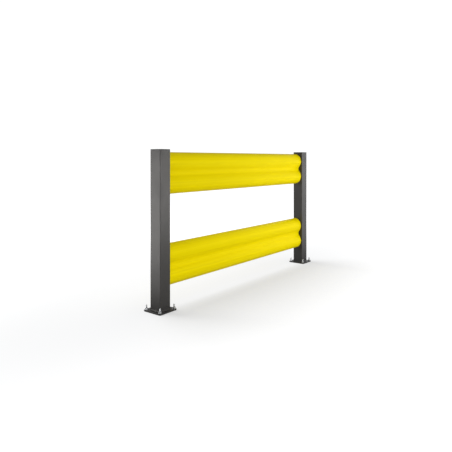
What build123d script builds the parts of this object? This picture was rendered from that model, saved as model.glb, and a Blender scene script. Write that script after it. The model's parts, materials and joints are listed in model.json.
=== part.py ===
from build123d import *
import os
from math import sqrt

os.makedirs("parts", exist_ok=True)

# All lengths in mm. X runs along the rails, the lobed fronts face -Y, the floor is Z = 0.

# Layout
post_spacing = 2030.0
barrier_height = 1155.0
lower_rail_height = 155.0
upper_rail_drop = 19.0

# Posts, square steel tube
post_side = 100.0
post_wall = 4.0
post_corner_radius = 3.0

# Base plates
plate_side = 170.0
plate_thickness = 10.0
plate_corner_radius = 12.0
plate_edge_chamfer = 1.0
anchor_edge_distance = 15.5
anchor_hole_diameter = 14.0

# Fillet weld round each post's foot
weld_leg = 6.0
weld_slope_share = 0.9

# Plug caps in the tops of the posts
cap_thickness = 5.0
cap_edge_chamfer = 1.5
cap_plug_depth = 30.0
cap_plug_wall = 3.0
cap_plug_clearance = 0.3

# Rails, a hollow profile with two round lobes in front and a flat back
lobe_radius = 77.0
lobe_pitch = 156.0
valley_depth = 29.0
rail_wall = 6.0
rail_back_radius = 8.0
web_root_radius = 4.0
rail_end_gap = 0.3

# End shoes on the posts, one in each chamber of a rail's end
shoe_length = 110.0
shoe_wall = 4.0
shoe_clearance = 0.3

# Derived sizes
post_top = barrier_height - cap_thickness
anchor_pitch = plate_side - 2 * anchor_edge_distance
clear_span = post_spacing - post_side
rail_length = clear_span - 2 * rail_end_gap
rail_height = lobe_pitch + 2 * lobe_radius
rail_back = lobe_radius / 2
valley_reach = lobe_radius - valley_depth
valley_radius = (valley_reach**2 + (lobe_pitch / 2) ** 2 - lobe_radius**2) / (2 * valley_depth)
lower_rail_centre = lower_rail_height + rail_height / 2
upper_rail_centre = barrier_height - upper_rail_drop - rail_height / 2


def write_piece(piece, name):
    piece.part.label = name
    export_step(piece.part, f"parts/{name}.step")


# Rail profile, drawn with Y across and Z up about the middle of the rail
lobe_centre = Vector(rail_back, lobe_pitch / 2)
lobe_top = lobe_centre + Vector(0, lobe_radius)
lobe_front = lobe_centre - Vector(lobe_radius, 0)
arc_sum = lobe_radius + valley_radius
valley_centre = Vector(rail_back - sqrt(arc_sum**2 - (lobe_pitch / 2) ** 2), 0)
lobe_end = lobe_centre + (valley_centre - lobe_centre) * (lobe_radius / arc_sum)
valley_floor = Vector(rail_back - valley_reach, 0)

with BuildSketch() as rail_profile:
    with BuildLine() as outline:
        ThreePointArc(lobe_top, lobe_front, lobe_end)
        ThreePointArc(lobe_end, valley_floor, Vector(lobe_end.X, -lobe_end.Y))
        mirror(outline.edges().sort_by(Axis.Y)[-1], about=Plane.XZ)
        Line(lobe_top, Vector(lobe_top.X, -lobe_top.Y))
    make_face()
    fillet(rail_profile.vertices().group_by(Axis.X)[-1], radius=rail_back_radius)
    offset(amount=-rail_wall, mode=Mode.SUBTRACT)
    # The web joins the valley to the back and parts the two chambers
    with Locations((rail_back - valley_reach / 2, 0)):
        Rectangle(valley_reach - rail_wall, rail_wall)
    web_roots = rail_profile.vertices().filter_by_position(Axis.Y, -rail_wall, rail_wall)
    web_roots = web_roots.filter_by_position(Axis.X, valley_floor.X + rail_wall / 2, rail_back - rail_wall / 2)
    fillet(web_roots, radius=web_root_radius)

chambers = rail_profile.face().inner_wires().sort_by(Axis.Y)

# Rails
for level, centre_height in (("lower", lower_rail_centre), ("upper", upper_rail_centre)):
    rail_start = Plane(origin=(-rail_length / 2, 0, centre_height), x_dir=(0, 1, 0), z_dir=(1, 0, 0))
    with BuildPart() as rail:
        with BuildSketch(rail_start):
            add(rail_profile.sketch)
        extrude(amount=rail_length)
    write_piece(rail, f"{level}_rail")

    # Shoes, steel sleeves that stand on the posts' inner faces and fill the chambers
    for side, inner_face in (("left", -clear_span / 2), ("right", clear_span / 2 - shoe_length)):
        shoe_start = Plane(origin=(inner_face, 0, centre_height), x_dir=(0, 1, 0), z_dir=(1, 0, 0))
        for place, chamber in zip(("bottom", "top"), chambers):
            with BuildPart() as shoe:
                with BuildSketch(shoe_start):
                    make_face(chamber.edges())
                    offset(amount=-shoe_clearance, mode=Mode.REPLACE)
                    offset(amount=-shoe_wall, mode=Mode.SUBTRACT)
                extrude(amount=shoe_length)
            write_piece(shoe, f"{level}_rail_{side}_{place}_shoe")

# Posts with their base plates, welds and caps
for side, post_centre in (("left", -post_spacing / 2), ("right", post_spacing / 2)):
    with BuildPart() as base_plate:
        with BuildSketch(Plane((post_centre, 0, 0))):
            RectangleRounded(plate_side, plate_side, plate_corner_radius)
            with GridLocations(anchor_pitch, anchor_pitch, 2, 2):
                Circle(anchor_hole_diameter / 2, mode=Mode.SUBTRACT)
        extrude(amount=plate_thickness)
        rim = base_plate.faces().sort_by(Axis.Z)[-1].outer_wire()
        chamfer(rim.edges(), length=plate_edge_chamfer)
    write_piece(base_plate, f"{side}_base_plate")

    plate_top = Plane((post_centre, 0, plate_thickness))
    with BuildPart() as post:
        with BuildSketch(plate_top):
            RectangleRounded(post_side, post_side, post_corner_radius)
            offset(amount=-post_wall, mode=Mode.SUBTRACT)
        extrude(amount=post_top - plate_thickness)
    write_piece(post, f"{side}_post")

    with BuildPart() as base_weld:
        with BuildSketch(plate_top):
            RectangleRounded(post_side, post_side, post_corner_radius)
            offset(amount=weld_leg, mode=Mode.REPLACE)
            RectangleRounded(post_side, post_side, post_corner_radius, mode=Mode.SUBTRACT)
        extrude(amount=weld_leg)
        bead_edge = base_weld.faces().sort_by(Axis.Z)[-1].outer_wire()
        chamfer(bead_edge.edges(), length=weld_leg * weld_slope_share)
    write_piece(base_weld, f"{side}_base_weld")

    with BuildPart() as post_cap:
        with BuildSketch(Plane((post_centre, 0, post_top))):
            RectangleRounded(post_side, post_side, post_corner_radius)
        extrude(amount=cap_thickness)
        chamfer(post_cap.faces().sort_by(Axis.Z)[-1].edges(), length=cap_edge_chamfer)
        with BuildSketch(Plane((post_centre, 0, post_top))):
            RectangleRounded(post_side, post_side, post_corner_radius)
            offset(amount=-post_wall - cap_plug_clearance, mode=Mode.REPLACE)
            offset(amount=-cap_plug_wall, mode=Mode.SUBTRACT)
        extrude(amount=-cap_plug_depth)
    write_piece(post_cap, f"{side}_post_cap")
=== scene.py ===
import json
import math

import bmesh
import bpy
from mathutils import Matrix, Vector


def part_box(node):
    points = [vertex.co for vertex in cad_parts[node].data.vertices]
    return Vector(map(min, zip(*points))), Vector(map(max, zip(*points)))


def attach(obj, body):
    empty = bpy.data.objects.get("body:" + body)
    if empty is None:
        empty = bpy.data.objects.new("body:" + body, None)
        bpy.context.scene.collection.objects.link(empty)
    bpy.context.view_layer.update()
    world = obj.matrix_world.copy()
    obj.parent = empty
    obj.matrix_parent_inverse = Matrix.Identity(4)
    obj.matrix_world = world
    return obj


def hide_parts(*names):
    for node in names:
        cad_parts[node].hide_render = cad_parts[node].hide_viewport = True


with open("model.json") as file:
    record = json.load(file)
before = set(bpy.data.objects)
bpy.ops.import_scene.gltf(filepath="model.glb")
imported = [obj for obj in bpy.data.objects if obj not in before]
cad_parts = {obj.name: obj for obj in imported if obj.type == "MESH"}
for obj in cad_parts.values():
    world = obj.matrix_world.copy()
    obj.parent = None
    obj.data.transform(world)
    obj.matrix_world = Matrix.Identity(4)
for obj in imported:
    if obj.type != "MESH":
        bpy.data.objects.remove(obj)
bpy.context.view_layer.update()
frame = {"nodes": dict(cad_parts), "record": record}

record = frame["record"]
mm = 0.001
barrierEnds = ("left", "right")
squareCorners = ((-1, -1), (1, -1), (1, 1), (-1, 1))


# Node helpers

def addNode(tree, kind, **settings):
    # a setting is a property of the node, or else one of its inputs
    node = tree.nodes.new(kind)
    for name, value in settings.items():
        if name in node.bl_rna.properties:
            setattr(node, name, value)
        else:
            node.inputs[name].default_value = value
    return node


def newGroup(name, inputs, outputs):
    # all sockets are plain numbers, and every input is set where the group is placed
    tree = bpy.data.node_groups.new(name, "ShaderNodeTree")
    for direction, labels in (("INPUT", inputs), ("OUTPUT", outputs)):
        for label in labels:
            tree.interface.new_socket(label, in_out=direction, socket_type="NodeSocketFloat")
    return tree, tree.nodes.new("NodeGroupInput"), tree.nodes.new("NodeGroupOutput")


def placeGroup(tree, group, **values):
    node = tree.nodes.new("ShaderNodeGroup")
    node.node_tree = group
    for label, value in values.items():
        node.inputs[label].default_value = value
    return node


def newMaterial(name, **shaderValues):
    material = bpy.data.materials.new(name)
    material.use_nodes = True
    shader = material.node_tree.nodes["Principled BSDF"]
    for label, value in shaderValues.items():
        shader.inputs[label].default_value = value
    return material, material.node_tree, shader


# Shared surface effects, each a node group

effects = {
    "cloudDetail": 3.0,
    "fineDetail": 2.0,
    "mottleRoughness": 0.55,
    "lineDetail": 3.0,
    "lineRoughness": 0.6,
    "peelSmoothness": 0.8,
    "span": (0.3, 0.7),  # nearly all values of a noise lie in here
}


def scaleOf(tree, size):
    # texture scale from the size of its features in metres
    scale = addNode(tree, "ShaderNodeMath", operation="DIVIDE")
    scale.inputs[0].default_value = 1.0
    tree.links.new(size, scale.inputs[1])
    return scale.outputs[0]


def makeMottleGroup(look):
    # cloudy variation, a coarse noise and a fine one
    tree, ins, outs = newGroup("mottle", ("Patch Size", "Fine Size"), ("Cloud", "Fine"))
    coord = addNode(tree, "ShaderNodeTexCoord")
    layers = (("Patch Size", "Cloud", look["cloudDetail"]), ("Fine Size", "Fine", look["fineDetail"]))
    for label, output, detail in layers:
        noise = addNode(tree, "ShaderNodeTexNoise", Detail=detail, Roughness=look["mottleRoughness"])
        tree.links.new(coord.outputs["Object"], noise.inputs["Vector"])
        tree.links.new(scaleOf(tree, ins.outputs[label]), noise.inputs["Scale"])
        tree.links.new(noise.outputs["Fac"], outs.inputs[output])
    return tree


def makeDrawLineGroup(look):
    # fine lines along X, as a die leaves them on an extrusion
    tree, ins, outs = newGroup("drawLines", ("Line Size", "Run Length"), ("Lines",))
    coord = addNode(tree, "ShaderNodeTexCoord")
    parts = addNode(tree, "ShaderNodeSeparateXYZ")
    tree.links.new(coord.outputs["Object"], parts.inputs[0])
    joined = addNode(tree, "ShaderNodeCombineXYZ")
    for axis, label in (("X", "Run Length"), ("Y", "Line Size"), ("Z", "Line Size")):
        share = addNode(tree, "ShaderNodeMath", operation="DIVIDE")
        tree.links.new(parts.outputs[axis], share.inputs[0])
        tree.links.new(ins.outputs[label], share.inputs[1])
        tree.links.new(share.outputs[0], joined.inputs[axis])
    noise = addNode(tree, "ShaderNodeTexNoise", Scale=1.0, Detail=look["lineDetail"])
    noise.inputs["Roughness"].default_value = look["lineRoughness"]
    tree.links.new(joined.outputs[0], noise.inputs["Vector"])
    tree.links.new(noise.outputs["Fac"], outs.inputs["Lines"])
    return tree


def makePeelGroup(look):
    # orange peel of a baked powder coat, or a moulded grain
    tree, ins, outs = newGroup("peel", ("Size",), ("Height",))
    coord = addNode(tree, "ShaderNodeTexCoord")
    cells = addNode(tree, "ShaderNodeTexVoronoi", feature="SMOOTH_F1", Smoothness=look["peelSmoothness"])
    tree.links.new(coord.outputs["Object"], cells.inputs["Vector"])
    tree.links.new(scaleOf(tree, ins.outputs["Size"]), cells.inputs["Scale"])
    tree.links.new(cells.outputs["Distance"], outs.inputs["Height"])
    return tree


mottle = makeMottleGroup(effects)
drawLines = makeDrawLineGroup(effects)
peel = makePeelGroup(effects)


def mixColours(tree, factor, low, high):
    ramp = addNode(tree, "ShaderNodeValToRGB")
    for element, place, colour in zip(ramp.color_ramp.elements, effects["span"], (low, high)):
        element.position = place
        element.color = (*colour, 1)
    tree.links.new(factor, ramp.inputs["Fac"])
    return ramp.outputs["Color"]


def mapValue(tree, value, fromSpan, toSpan, **settings):
    node = addNode(tree, "ShaderNodeMapRange", **settings)
    labels = ("From Min", "From Max", "To Min", "To Max")
    for label, limit in zip(labels, (*fromSpan, *toSpan)):
        node.inputs[label].default_value = limit
    tree.links.new(value, node.inputs["Value"])
    return node.outputs["Result"]


def linkLook(tree, shader, look, colourMask, roughnessMask):
    colour = mixColours(tree, colourMask, look["deep"], look["light"])
    tree.links.new(colour, shader.inputs["Base Color"])
    roughness = mapValue(tree, roughnessMask, effects["span"], look["roughness"])
    tree.links.new(roughness, shader.inputs["Roughness"])


def addBump(tree, shader, height, distance, strength, normal=None):
    bump = addNode(tree, "ShaderNodeBump", Strength=strength, Distance=distance)
    tree.links.new(height, bump.inputs["Height"])
    if normal is not None:
        tree.links.new(normal, bump.inputs["Normal"])
    tree.links.new(bump.outputs["Normal"], shader.inputs["Normal"])
    return bump.outputs["Normal"]


# Finishes

railLook = {
    # little gloss, and that in the plastic's own colour
    "shader": {"Specular IOR Level": 0.03, "Specular Tint": (1.0, 0.84, 0.06, 1)},
    "deep": (0.80, 0.637, 0.0),
    "light": (0.92, 0.753, 0.0),
    "roughness": (0.42, 0.52),
    "patchSize": 0.35,
    "fineSize": 0.03,
    "lineSize": 7 * mm,
    "lineRun": 3.0,
    "lineShare": 0.75,  # of the draw lines in the colour, the rest is cloud
    "lineDepth": 0.4 * mm,
    "lineStrength": 0.6,
    "grainSize": 1.5 * mm,
    "grainDepth": 0.04 * mm,
    "grainStrength": 0.5,
}


def makeRailPlastic(look):
    material, tree, shader = newMaterial("railPlastic", **look["shader"])
    cloud = placeGroup(tree, mottle, **{"Patch Size": look["patchSize"], "Fine Size": look["fineSize"]})
    lines = placeGroup(tree, drawLines, **{"Line Size": look["lineSize"], "Run Length": look["lineRun"]})
    grain = placeGroup(tree, peel, Size=look["grainSize"])
    blend = addNode(tree, "ShaderNodeMix", data_type="FLOAT", Factor=look["lineShare"])
    tree.links.new(cloud.outputs["Cloud"], blend.inputs["A"])
    tree.links.new(lines.outputs["Lines"], blend.inputs["B"])
    linkLook(tree, shader, look, blend.outputs[0], cloud.outputs["Fine"])
    ridges = addBump(tree, shader, lines.outputs["Lines"], look["lineDepth"], look["lineStrength"])
    addBump(tree, shader, grain.outputs["Height"], look["grainDepth"], look["grainStrength"], ridges)
    return material


# colourBy and roughnessBy name the noise that drives each
postLook = {
    "shader": {"Specular IOR Level": 0.5, "Specular Tint": (1.0, 0.97, 0.94, 1)},
    "deep": (0.024, 0.023, 0.022),
    "light": (0.030, 0.028, 0.027),
    "colourBy": "Fine",
    "roughness": (0.385, 0.435),
    "roughnessBy": "Cloud",
    "patchSize": 0.12,
    "fineSize": 1.2 * mm,
    "grainSize": 2.2 * mm,
    "grainDepth": 0.1 * mm,
    "grainStrength": 0.5,
}

capLook = {
    "shader": {},
    "deep": (0.018, 0.018, 0.018),
    "light": (0.028, 0.028, 0.027),
    "colourBy": "Fine",
    "roughness": (0.5, 0.62),
    "roughnessBy": "Cloud",
    "patchSize": 0.04,
    "fineSize": 1 * mm,
    "grainSize": 0.9 * mm,
    "grainDepth": 0.08 * mm,
    "grainStrength": 0.6,
}

zincLook = {
    "shader": {"Metallic": 1.0},
    "deep": (0.56, 0.57, 0.58),
    "light": (0.78, 0.79, 0.80),
    "colourBy": "Cloud",
    "roughness": (0.26, 0.42),
    "roughnessBy": "Fine",
    "patchSize": 0.006,
    "fineSize": 0.8 * mm,
    "grainSize": 0.6 * mm,
    "grainDepth": 0.02 * mm,
    "grainStrength": 0.4,
}


def makeCoat(name, look):
    # mottled colour and roughness over a peel or a grain
    material, tree, shader = newMaterial(name, **look["shader"])
    cloud = placeGroup(tree, mottle, **{"Patch Size": look["patchSize"], "Fine Size": look["fineSize"]})
    grain = placeGroup(tree, peel, Size=look["grainSize"])
    linkLook(tree, shader, look, cloud.outputs[look["colourBy"]], cloud.outputs[look["roughnessBy"]])
    addBump(tree, shader, grain.outputs["Height"], look["grainDepth"], look["grainStrength"])
    return material


finishes = {
    "rail_plastic": makeRailPlastic(railLook),
    "post_coat": makeCoat("postCoat", postLook),
    "cap_plastic": makeCoat("capPlastic", capLook),
    "zinced_steel": makeCoat("zincedSteel", zincLook),
}
for row in record["subparts"]:
    node = frame["nodes"][row["node"]]
    node.data.materials.clear()
    node.data.materials.append(finishes[row["material_slot"]])
print("finishes set on", len(record["subparts"]), "CAD nodes")


# Mesh helpers

def addPiece(name, mesh, slot):
    piece = bpy.data.objects.new(name, mesh)
    bpy.context.scene.collection.objects.link(piece)
    mesh.materials.append(finishes[slot])
    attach(piece, "root")
    return piece


def meshFromRings(name, rings, smoothAngle, joinEnds=False):
    # rings of equally many points are joined by quads, the ends to each other or each with a face
    bm = bmesh.new()
    rows = [[bm.verts.new(point) for point in ring] for ring in rings]
    count = len(rows[0])
    nextRows = rows[1:] + rows[:1] if joinEnds else rows[1:]
    for low, high in zip(rows, nextRows):
        for i in range(count):
            j = (i + 1) % count
            bm.faces.new((low[i], low[j], high[j], high[i]))
    if not joinEnds:
        bm.faces.new(rows[0][::-1])
        bm.faces.new(rows[-1])
    bmesh.ops.recalc_face_normals(bm, faces=bm.faces)
    mesh = bpy.data.meshes.new(name)
    bm.to_mesh(mesh)
    bm.free()
    for face in mesh.polygons:
        face.use_smooth = True
    mesh.set_sharp_from_angle(angle=math.radians(smoothAngle))
    return mesh


def turnAngles(count):
    return [2 * math.pi * i / count for i in range(count)]


def circlePoint(radius, angle, height):
    return Vector((radius * math.cos(angle), radius * math.sin(angle), height))


def circleRing(radius, angles, height):
    return [circlePoint(radius, angle, height) for angle in angles]


# Floor anchors: stud, nut and washer in each hole of a base plate

anchor = {
    "studRadius": 6 * mm,
    "studFoot": 1 * mm,  # above the floor
    "studHeight": 34 * mm,  # above the plate
    "studChamfer": 1.5 * mm,
    "studSides": 36,
    "studSmooth": 40,  # degrees, sharper edges stay sharp
    "threadPitch": 1.75 * mm,
    "threadDepth": 1.0 * mm,
    "threadCrest": 1.35,  # over 1 the crest is flat, the root stays sharp
    "threadSteps": 6,  # rings for each turn of the thread
    "nutAcross": 19 * mm,
    "nutHeight": 10 * mm,
    "nutFace": 0.96,  # flat end face, as a share of the width across
    "nutChamfer": 30,  # degrees
    "nutGap": 0.05 * mm,  # round the stud
    "nutSink": 0.8 * mm,
    "nutSides": 72,
    "nutSmooth": 25,
    "washerRadius": 12 * mm,
    "washerHole": 6.6 * mm,
    "washerThickness": 2.5 * mm,
    "washerBevel": 0.4 * mm,
    "washerSides": 72,
    "washerSmooth": 40,
    "turns": (12, 47, 28, 3),  # how each nut happens to stand, degrees
}


def makeStudMesh(sizes, plateTop):
    # plain below the nut's top, a cut thread above it
    radius = sizes["studRadius"]
    pitch = sizes["threadPitch"]
    depth = sizes["threadDepth"]
    threadStart = plateTop + sizes["washerThickness"] + sizes["nutHeight"] - pitch
    tip = plateTop + sizes["studHeight"]
    root = radius - depth
    angles = turnAngles(sizes["studSides"])
    rings = [circleRing(radius, angles, sizes["studFoot"]), circleRing(radius, angles, threadStart)]
    step = pitch / sizes["threadSteps"]
    height = threadStart + step
    while height < tip - step:
        limit = radius - max(0.0, height - (tip - sizes["studChamfer"]))
        ring = []
        for angle in angles:
            phase = (height / pitch - angle / (2 * math.pi)) % 1.0
            crest = min(1.0, sizes["threadCrest"] * abs(2 * phase - 1))
            ring.append(circlePoint(min(root + depth * crest, limit), angle, height))
        rings.append(ring)
        height += step
    rings.append(circleRing(radius - sizes["studChamfer"], angles, tip))
    return meshFromRings("anchorStud", rings, sizes["studSmooth"])


def makeNutMesh(sizes):
    # hexagon with both ends turned to a cone, and a countersunk hole
    half = sizes["nutAcross"] / 2
    height = sizes["nutHeight"]
    flat = half * sizes["nutFace"]
    slope = math.tan(math.radians(sizes["nutChamfer"]))
    hole = sizes["studRadius"] + sizes["nutGap"]
    sink = hole + sizes["nutSink"]
    angles = turnAngles(sizes["nutSides"])
    rims = [half / math.cos((angle + math.pi / 6) % (math.pi / 3) - math.pi / 6) for angle in angles]
    drops = [(rim - flat) * slope for rim in rims]
    rings = [
        circleRing(hole, angles, sink - hole),
        circleRing(sink, angles, 0),
        circleRing(flat, angles, 0),
        [circlePoint(rim, angle, drop) for rim, angle, drop in zip(rims, angles, drops)],
        [circlePoint(rim, angle, height - drop) for rim, angle, drop in zip(rims, angles, drops)],
        circleRing(flat, angles, height),
        circleRing(sink, angles, height),
        circleRing(hole, angles, height - (sink - hole)),
    ]
    return meshFromRings("anchorNut", rings, sizes["nutSmooth"], joinEnds=True)


def makeWasherMesh(sizes):
    rim = sizes["washerRadius"]
    hole = sizes["washerHole"]
    bevel = sizes["washerBevel"]
    top = sizes["washerThickness"]
    outline = (
        (hole, 0),
        (rim - bevel, 0),
        (rim, bevel),
        (rim, top - bevel),
        (rim - bevel, top),
        (hole + bevel, top),
        (hole, top - bevel),
    )
    angles = turnAngles(sizes["washerSides"])
    rings = [circleRing(radius, angles, height) for radius, height in outline]
    return meshFromRings("anchorWasher", rings, sizes["washerSmooth"], joinEnds=True)


def placeAnchors(sizes):
    mounts = {mount["name"]: mount for mount in record["mounts"]}
    for side in barrierEnds:
        mount = mounts[f"{side}_anchor_holes"]
        centre = Vector(mount["pos_m"])
        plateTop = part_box(f"{side}_base_plate")[1].z
        reachX = mount["dims"]["spacing_x_mm"] * mm / 2
        reachY = mount["dims"]["spacing_y_mm"] * mm / 2
        for place, ((signX, signY), turn) in enumerate(zip(squareCorners, sizes["turns"]), 1):
            spot = Vector((centre.x + signX * reachX, centre.y + signY * reachY, 0))
            spin = Matrix.Rotation(math.radians(turn), 4, "Z")
            stack = (
                ("stud", makeStudMesh(sizes, plateTop), 0),
                ("washer", makeWasherMesh(sizes), plateTop),
                ("nut", makeNutMesh(sizes), plateTop + sizes["washerThickness"]),
            )
            for kind, mesh, height in stack:
                mesh.transform(Matrix.Translation(spot + Vector((0, 0, height))) @ spin)
                addPiece(f"{side}_anchor_{place}_{kind}", mesh, "zinced_steel")


placeAnchors(anchor)
print("anchors placed")


# Weld beads round the feet of the posts, with the ripples of the run

weld = {
    "leg": 5.6 * mm,
    "crown": 0.5 * mm,  # how far the bead bulges each way
    "ripple": 0.25 * mm,
    "ripplePitch": 3 * mm,
    "stepsEach": 5,  # stations for each ripple
    "section": 9,  # points across the bead
    "cornerRadius": 3 * mm,
    "smooth": 50,  # degrees, sharper edges stay sharp
}


def squarePath(width, radius, step):
    # points and outward directions along a square with rounded corners
    straight = width - 2 * radius
    quarter = math.pi * radius / 2
    total = 4 * (straight + quarter)
    count = round(total / step)
    path = []
    for i in range(count):
        leg, along = divmod(total * i / count, straight + quarter)
        angle = -math.pi / 2 + max(0.0, along - straight) / radius
        outward = Vector((math.cos(angle), math.sin(angle)))
        if along < straight:
            point = Vector((along - straight / 2, -width / 2))
        else:
            point = Vector((straight / 2, -straight / 2)) + radius * outward
        spin = Matrix.Rotation(leg * math.pi / 2, 2)
        path.append((spin @ point, spin @ outward))
    return path


def makeWeldMesh(sizes, width, centre, base):
    path = squarePath(width, sizes["cornerRadius"], sizes["ripplePitch"] / sizes["stepsEach"])
    rings = []
    for i, (point, outward) in enumerate(path):
        foot = Vector((centre.x + point.x, centre.y + point.y, base))
        away = Vector((outward.x, outward.y, 0))
        swell = sizes["crown"] - sizes["ripple"] * (i % sizes["stepsEach"]) / sizes["stepsEach"]
        ring = [foot]
        for k in range(sizes["section"]):
            share = k / (sizes["section"] - 1)  # from the plate up to the post
            bulge = swell * math.sin(math.pi * share)
            reach = sizes["leg"] * (1 - share) + bulge
            rise = sizes["leg"] * share + bulge
            ring.append(foot + away * reach + Vector((0, 0, rise)))
        rings.append(ring)
    return meshFromRings("weldBead", rings, sizes["smooth"], joinEnds=True)


for side in barrierEnds:
    postLow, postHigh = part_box(f"{side}_post")
    centre = (postLow + postHigh) / 2
    mesh = makeWeldMesh(weld, postHigh.x - postLow.x, centre, postLow.z)
    bead = addPiece(f"{side}_weld_bead", mesh, "post_coat")
    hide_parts(f"{side}_base_weld")
print("welds run")


# Floor, light and camera

floorLook = {
    "size": 60.0,
    "shade": (0.22, 0.222, 0.226),
    "near": 0.64,  # dimmer glow of the paper round the barrier, a painted shade where its shadow falls
    "far": 1.05,
    "nearRadius": 0.45,
    "farRadius": 2.4,
    "glowCentre": (-0.4, 0.4, 0.0),
    "glowStretch": (0.45, 1.0, 0.0),  # under 1 the glow changes more slowly that way
    "paintedShadeReach": 0.5,  # how far from the barrier the painted contact shade on the floor's glow goes
    "paintedContactShade": 0.25,
}


def makeFloorPaper(look):
    # the glow keeps the paper white for the camera and doesn't light the barrier; it is dimmer round the
    # barrier and near its feet, a painted shade on the floor
    material = bpy.data.materials.new("floorPaper")
    material.use_nodes = True
    tree = material.node_tree
    tree.nodes.clear()
    coord = addNode(tree, "ShaderNodeTexCoord")
    fromCentre = addNode(tree, "ShaderNodeVectorMath", operation="SUBTRACT")
    fromCentre.inputs[1].default_value = look["glowCentre"]
    tree.links.new(coord.outputs["Object"], fromCentre.inputs[0])
    stretched = addNode(tree, "ShaderNodeVectorMath", operation="MULTIPLY")
    stretched.inputs[1].default_value = look["glowStretch"]
    tree.links.new(fromCentre.outputs[0], stretched.inputs[0])
    away = addNode(tree, "ShaderNodeVectorMath", operation="LENGTH")
    tree.links.new(stretched.outputs[0], away.inputs[0])
    radii = (look["nearRadius"], look["farRadius"])
    levels = (look["near"], look["far"])
    # the glow is lower near the barrier: painted shade on the floor
    fade = mapValue(tree, away.outputs["Value"], radii, levels, interpolation_type="SMOOTHSTEP")
    # ambient occlusion lowers the glow next to the barrier: painted contact shade
    contact = addNode(tree, "ShaderNodeAmbientOcclusion", Distance=look["paintedShadeReach"])
    clear = mapValue(tree, contact.outputs["AO"], (0, 1), (1 - look["paintedContactShade"], 1))
    shaded = addNode(tree, "ShaderNodeMath", operation="MULTIPLY")
    tree.links.new(fade, shaded.inputs[0])
    tree.links.new(clear, shaded.inputs[1])
    seen = addNode(tree, "ShaderNodeLightPath")
    strength = addNode(tree, "ShaderNodeMath", operation="MULTIPLY")
    tree.links.new(seen.outputs["Is Camera Ray"], strength.inputs[0])
    tree.links.new(shaded.outputs[0], strength.inputs[1])
    glow = addNode(tree, "ShaderNodeEmission")
    tree.links.new(strength.outputs[0], glow.inputs["Strength"])
    paper = addNode(tree, "ShaderNodeBsdfDiffuse", Color=(*look["shade"], 1))
    both = addNode(tree, "ShaderNodeAddShader")
    tree.links.new(paper.outputs[0], both.inputs[0])
    tree.links.new(glow.outputs[0], both.inputs[1])
    end = addNode(tree, "ShaderNodeOutputMaterial")
    tree.links.new(both.outputs[0], end.inputs["Surface"])
    return material


def makeFloor(look):
    half = look["size"] / 2
    bm = bmesh.new()
    bm.faces.new([bm.verts.new((x * half, y * half, 0)) for x, y in squareCorners])
    mesh = bpy.data.meshes.new("floor")
    bm.to_mesh(mesh)
    bm.free()
    mesh.materials.append(makeFloorPaper(look))
    floor = bpy.data.objects.new("floor", mesh)
    bpy.context.scene.collection.objects.link(floor)
    return floor


floor = makeFloor(floorLook)

skyLook = {"seen": 1.05, "ambient": 0.37}


def makeSky(look):
    # white as the camera sees it, weaker as a light on the barrier
    world = bpy.data.worlds.new("studio")
    world.use_nodes = True
    tree = world.node_tree
    shade = tree.nodes["Background"]
    shade.inputs["Color"].default_value = (1, 1, 1, 1)
    seen = addNode(tree, "ShaderNodeLightPath")
    strength = mapValue(tree, seen.outputs["Is Camera Ray"], (0, 1), (look["ambient"], look["seen"]))
    tree.links.new(strength, shade.inputs["Strength"])
    bpy.context.scene.world = world


makeSky(skyLook)

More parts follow.
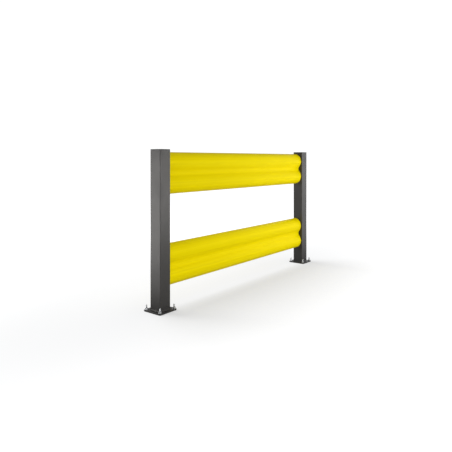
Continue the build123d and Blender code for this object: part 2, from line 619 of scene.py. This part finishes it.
# each softbox: place, aimed-at point, width, height, watts, what it lights
softboxes = {
    "rightBox": ((0.95, -2.2, 0.75), (0.6, 0.0, 0.75), 0.8, 1.3, 25.4, "barrier"),
    "sideBox": ((4.6, -2.2, 0.7), (0.9, 0.0, 0.7), 2.2, 1.6, 21.5, "barrier"),
    "leftBox": ((-2.4, -3.6, 0.75), (-0.6, 0.0, 0.75), 2.4, 1.4, 52.6, "barrier"),
    "edgeBox": ((-2.09, 1.09, 0.6), (-1.065, 0.0, 0.6), 0.32, 1.5, 13.6, "barrier"),
    "topBox": ((0.0, -0.5, 3.2), (0.0, 0.0, 0.7), 2.6, 1.2, 2, "barrier"),
    "frontCard": ((0.0, -1.1, 0.02), (0.0, -1.1, 1.0), 3.6, 1.6, 2.2, "barrier"),
    "underCard": ((0.0, -0.32, 0.02), (0.0, -0.32, 1.0), 2.2, 0.5, 0.6, "barrier"),
    "rightCard": ((2.77, -1.0, 0.02), (2.77, -1.0, 1.0), 3.0, 1.2, 12.5, "barrier"),
    "leftCard": ((-2.1, 0.4, 0.02), (-2.1, 0.4, 1.0), 1.6, 2.2, 8.9, "barrier"),
    "fillBox": ((-0.3, 3.6, 2.0), (0.0, 0.0, 0.6), 3.2, 1.6, 40, "barrier"),
    "endBox": ((4.2, 0.2, 1.6), (1.065, 0.0, 0.6), 3.2, 2.0, 30, "barrier"),
    "backBox": ((-0.8, 3.9, 4.6), (0.0, 0.0, 0.0), 4.0, 5.2, 570, "floor"),
}


def addSoftboxes(boxes, floor):
    # the floor has a light of its own from behind, so its shadow falls forwards
    receivers = {}
    for kind, state in (("floor", "INCLUDE"), ("barrier", "EXCLUDE")):
        receivers[kind] = bpy.data.collections.new(f"{kind}Light")
        receivers[kind].objects.link(floor)
        receivers[kind].collection_objects[0].light_linking.link_state = state
    for name, (place, target, width, height, watts, lights) in boxes.items():
        lamp = bpy.data.lights.new(name, "AREA")
        lamp.shape = "RECTANGLE"
        lamp.size = width
        lamp.size_y = height
        lamp.energy = watts
        box = bpy.data.objects.new(name, lamp)
        box.location = place
        box.rotation_euler = (Vector(target) - Vector(place)).to_track_quat("-Z", "Y").to_euler()
        box.light_linking.receiver_collection = receivers[lights]
        box.visible_camera = False
        bpy.context.scene.collection.objects.link(box)


addSoftboxes(softboxes, floor)

cameraLook = {
    "place": (-3.370, -2.445, 1.086),
    "heading": 51.89,  # degrees from +Y towards +X
    "focal": 469.4,  # pixels
    "horizon": 158.8,  # pixel row of the level line
    "image": 452,  # pixels across the frame
    "sensor": 36.0,  # mm
    "clipEnd": 200,
}


def addCamera(look):
    camera = bpy.data.cameras.new("camera")
    camera.sensor_width = look["sensor"]
    camera.lens = look["focal"] / look["image"] * look["sensor"]
    camera.shift_y = (look["horizon"] - look["image"] / 2) / look["image"]
    camera.clip_end = look["clipEnd"]
    eye = bpy.data.objects.new("camera", camera)
    eye.location = look["place"]
    eye.rotation_euler = (math.pi / 2, 0, -math.radians(look["heading"]))
    bpy.context.scene.collection.objects.link(eye)
    bpy.context.scene.camera = eye


addCamera(cameraLook)
bpy.context.scene.view_settings.view_transform = "Standard"
print("studio set")
